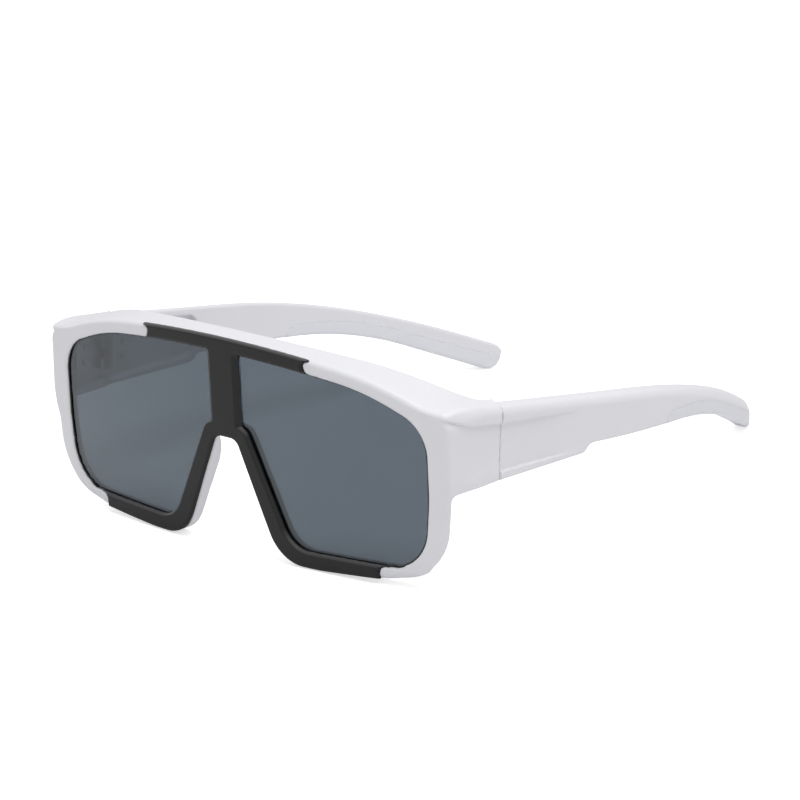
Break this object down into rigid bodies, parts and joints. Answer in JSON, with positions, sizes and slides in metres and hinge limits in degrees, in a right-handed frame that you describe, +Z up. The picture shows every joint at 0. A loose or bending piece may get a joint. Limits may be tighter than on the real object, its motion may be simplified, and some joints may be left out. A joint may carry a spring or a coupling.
{
  "type": "hiking glasses",
  "caption": "Wrap-round outdoor glasses: a curved smoke shield lens in a white front with a black trim, and folding arms with soft tip pads.",
  "frame": {"origin": "centre of the bounding box in plan, on the table plane that the lower rims and the arm tips stand on, arms open", "axes": "+X to the wearer's left, -Y the way the glasses look, +Y back along the arms, +Z up"},
  "size_m": [0.1468, 0.1497, 0.0567],
  "materials": {
    "white_shell": "satin moulded nylon",
    "black_trim": "satin moulded, almost black",
    "smoke_lens": "polished, grey-blue smoke tint",
    "tip_pad": "soft matt elastomer, a little cooler white than the arms",
    "hinge_steel": "fine turned and stamped steel"
  },
  "bodies": {
    "front": {"front_frame": "white_shell", "trim": "black_trim", "lens": "smoke_lens", "left_front_leaf": "hinge_steel", "right_front_leaf": "hinge_steel", "left_hinge_screw": "hinge_steel", "right_hinge_screw": "hinge_steel", "left_front_upper_screw": "hinge_steel", "left_front_lower_screw": "hinge_steel", "right_front_upper_screw": "hinge_steel", "right_front_lower_screw": "hinge_steel"},
    "left_temple": {"left_arm": "white_shell", "left_tip_pad": "tip_pad", "left_arm_leaf": "hinge_steel", "left_arm_upper_screw": "hinge_steel", "left_arm_lower_screw": "hinge_steel"},
    "right_temple": {"right_arm": "white_shell", "right_tip_pad": "tip_pad", "right_arm_leaf": "hinge_steel", "right_arm_upper_screw": "hinge_steel", "right_arm_lower_screw": "hinge_steel"}
  },
  "joints": [
    {"name": "left_arm_fold", "type": "hinge", "parent": "front", "child": "left_temple", "pos_m": [0.0682, -0.04914, 0.0346], "axis": [0, 0.1392, 0.9903], "range_deg": [0, 84]},
    {"name": "right_arm_fold", "type": "hinge", "parent": "front", "child": "right_temple", "pos_m": [-0.0682, -0.04914, 0.0346], "axis": [0, -0.1392, -0.9903], "range_deg": [0, 74]}
  ]
}
